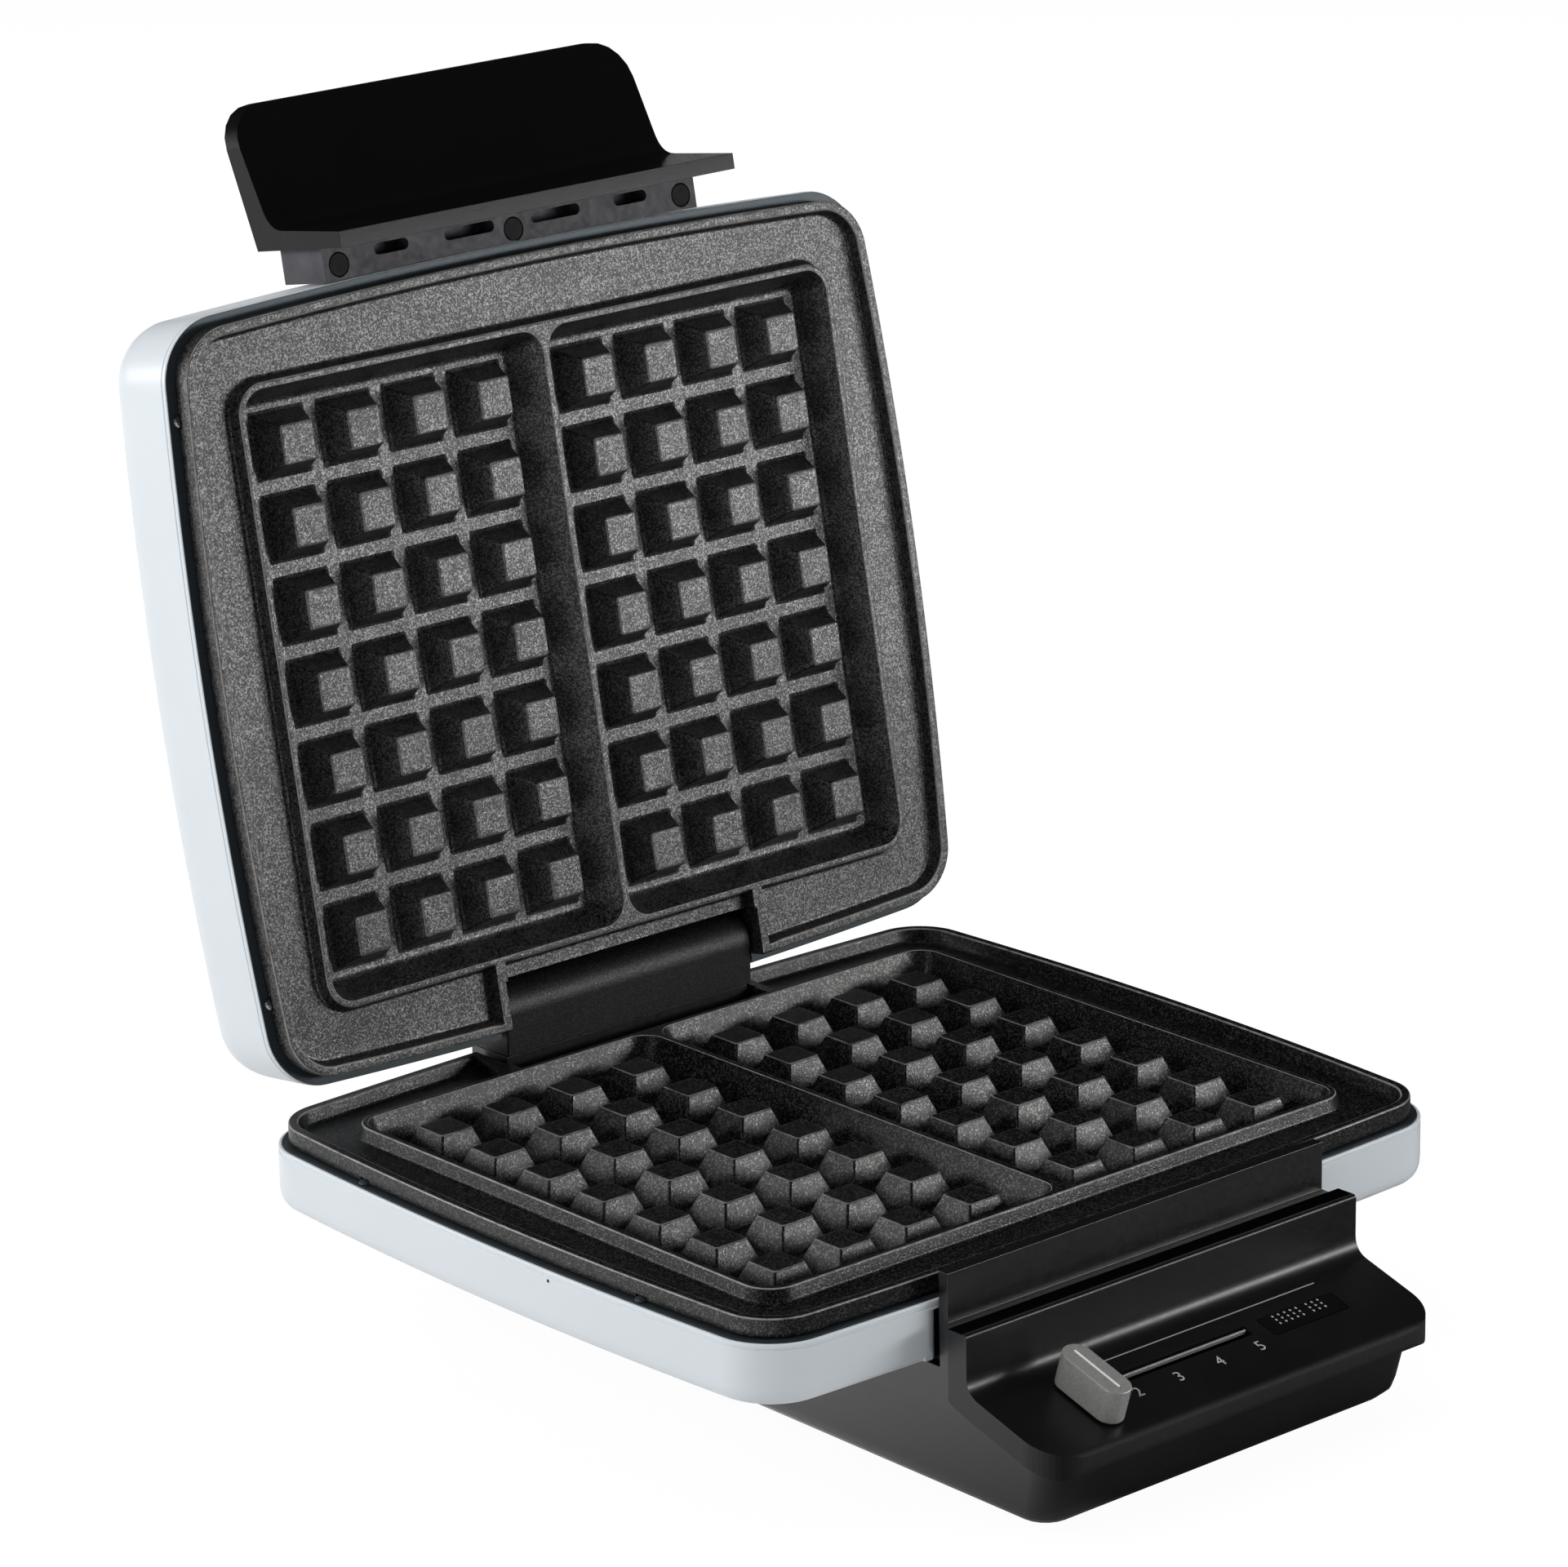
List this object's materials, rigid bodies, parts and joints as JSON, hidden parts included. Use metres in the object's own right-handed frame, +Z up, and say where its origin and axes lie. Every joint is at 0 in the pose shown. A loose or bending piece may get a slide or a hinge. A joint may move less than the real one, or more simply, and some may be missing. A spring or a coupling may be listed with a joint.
{
  "type": "waffle iron",
  "caption": "Open electric waffle iron with a hinged lid, gridded non-stick cooking plates, a blade handle and a sloping console with a sliding heat control.",
  "frame": {"origin": "centre of the bottom of the bounding box, on the bench", "axes": "+X to the right as seen from the front, +Y to the hinge at the back, +Z up"},
  "size_m": [0.269, 0.3486, 0.3409],
  "materials": {
    "black_plastic": "satin black moulded plastic",
    "panel_plastic": "semi-gloss black moulded plastic",
    "non_stick": "dark speckled non-stick coating on cast aluminium",
    "pale_metal": "satin silver-white lacquer on pressed sheet",
    "bright_trim": "bright",
    "sheet_metal": "mill finish sheet",
    "heater_sheath": "heat-darkened tube",
    "steel": "plain zinc-plated steel",
    "satin_silver": "satin silver lacquer on plastic",
    "grey_plastic": "mottled satin mid-grey plastic",
    "rubber": "matte black rubber",
    "smoked_window": "smoked clear plastic",
    "amber_lamp": "tinted lamp lens",
    "green_lamp": "tinted lamp lens",
    "white_ceramic": "unglazed steatite"
  },
  "bodies": {
    "base": {"base_housing": "black_plastic", "bottom_cover": "black_plastic", "control_panel": "panel_plastic", "lower_plate": "non_stick", "hinge_cover": "non_stick", "lower_pan": "pale_metal", "lower_trim_ring": "bright_trim", "lower_reflector": "sheet_metal", "lower_heater": "heater_sheath", "hinge_bracket": "steel", "hinge_pin_left": "steel", "hinge_pin_right": "steel", "cover_screw_1": "steel", "cover_screw_2": "steel", "cover_screw_3": "steel", "cover_screw_4": "steel", "pan_screw_1": "steel", "pan_screw_2": "steel", "pan_screw_3": "steel", "pan_screw_4": "steel", "lower_catch_1": "steel", "lower_catch_2": "steel", "lower_catch_3": "steel", "lower_catch_4": "steel", "slide_regulator": "grey_plastic", "foot_front_left": "rubber", "foot_front_right": "rubber", "foot_rear_left": "rubber", "foot_rear_right": "rubber", "mains_gland": "rubber", "panel_window": "smoked_window", "power_lamp": "amber_lamp", "ready_lamp": "green_lamp", "thermostat": "white_ceramic", "terminal_block": "white_ceramic"},
    "slider": {"slider_carriage": "grey_plastic", "slider_knob": "satin_silver"},
    "lid": {"upper_shell": "pale_metal", "upper_trim_ring": "bright_trim", "upper_reflector": "sheet_metal", "upper_heater": "heater_sheath", "upper_plate": "non_stick", "lid_arm_left": "steel", "lid_arm_right": "steel", "handle_bracket": "grey_plastic", "handle_grip": "black_plastic", "handle_plug_left": "black_plastic", "handle_plug_middle": "black_plastic", "handle_plug_right": "black_plastic", "upper_catch_1": "steel", "upper_catch_2": "steel", "upper_catch_3": "steel", "upper_catch_4": "steel"}
  },
  "joints": [
    {"name": "lid_hinge", "type": "hinge", "parent": "base", "child": "lid", "pos_m": [0, 0.09415, 0.07916], "axis": [1, 0, 0], "range_deg": [0, 100.86]},
    {"name": "temperature_slide", "type": "slide", "parent": "base", "child": "slider", "axis": [1, 0, 0], "range_m": [0, 0.0624]}
  ]
}
